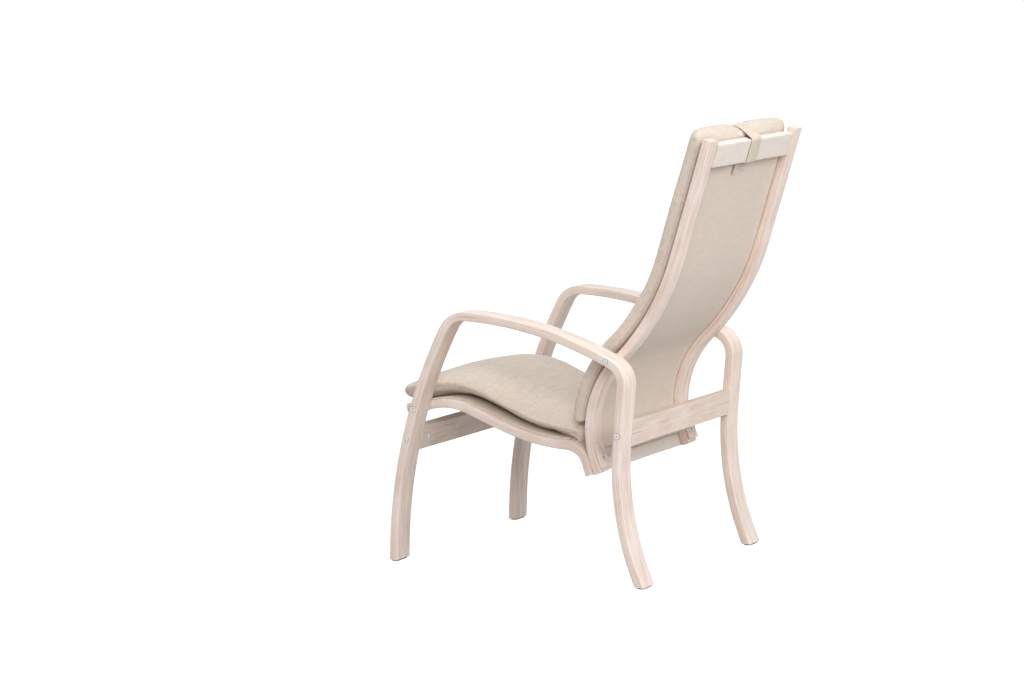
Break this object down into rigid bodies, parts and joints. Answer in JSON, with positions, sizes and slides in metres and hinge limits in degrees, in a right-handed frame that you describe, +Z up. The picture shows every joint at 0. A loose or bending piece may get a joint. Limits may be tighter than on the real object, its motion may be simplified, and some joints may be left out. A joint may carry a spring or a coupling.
{
  "type": "lounge armchair with bent-laminated frames",
  "caption": "High-backed lounge armchair with arched bent-laminated wood side frames, a canvas sling on curved rails and a loose beige seat and back cushion.",
  "frame": {"origin": "middle of the chair's footprint box, on the floor", "axes": "+Z up, the chair faces -Y, +X is the sitter's left"},
  "size_m": [0.68, 0.7579, 1.0095],
  "materials": {
    "whitewashed_beech": "matte, white-pigmented lacquer on laminated beech",
    "plain_beech": "raw turned beech",
    "sling_canvas": "plain-woven canvas",
    "linen_upholstery": "matte linen weave",
    "zinc_steel": "zinc plated, satin",
    "black_glide": "moulded, matte"
  },
  "bodies": {
    "root": {"side_frame_left": "whitewashed_beech", "side_frame_right": "whitewashed_beech", "front_crossbar": "whitewashed_beech", "rear_crossbar": "whitewashed_beech", "seat_rail_left": "whitewashed_beech", "seat_rail_right": "whitewashed_beech", "back_rail_left": "whitewashed_beech", "back_rail_right": "whitewashed_beech", "corner_pads": "whitewashed_beech", "back_top_bar": "whitewashed_beech", "seat_front_bar": "whitewashed_beech", "seat_rear_bar": "whitewashed_beech", "crossbar_dowels": "plain_beech", "bar_dowels": "plain_beech", "back_sling": "sling_canvas", "seat_sling": "sling_canvas", "top_sleeve_left": "sling_canvas", "top_sleeve_right": "sling_canvas", "front_sleeve": "sling_canvas", "lower_sleeve": "sling_canvas", "seat_cushion": "linen_upholstery", "back_cushion": "linen_upholstery", "cushion_strap": "linen_upholstery", "strap_tab": "linen_upholstery", "crossbar_bolts": "zinc_steel", "barrel_nuts": "zinc_steel", "arm_bolts": "zinc_steel", "seat_bolts": "zinc_steel", "threaded_inserts": "zinc_steel", "corner_bolts": "zinc_steel", "corner_nuts": "zinc_steel", "spacer_washers": "zinc_steel", "foot_glides": "black_glide"}
  },
  "joints": []
}
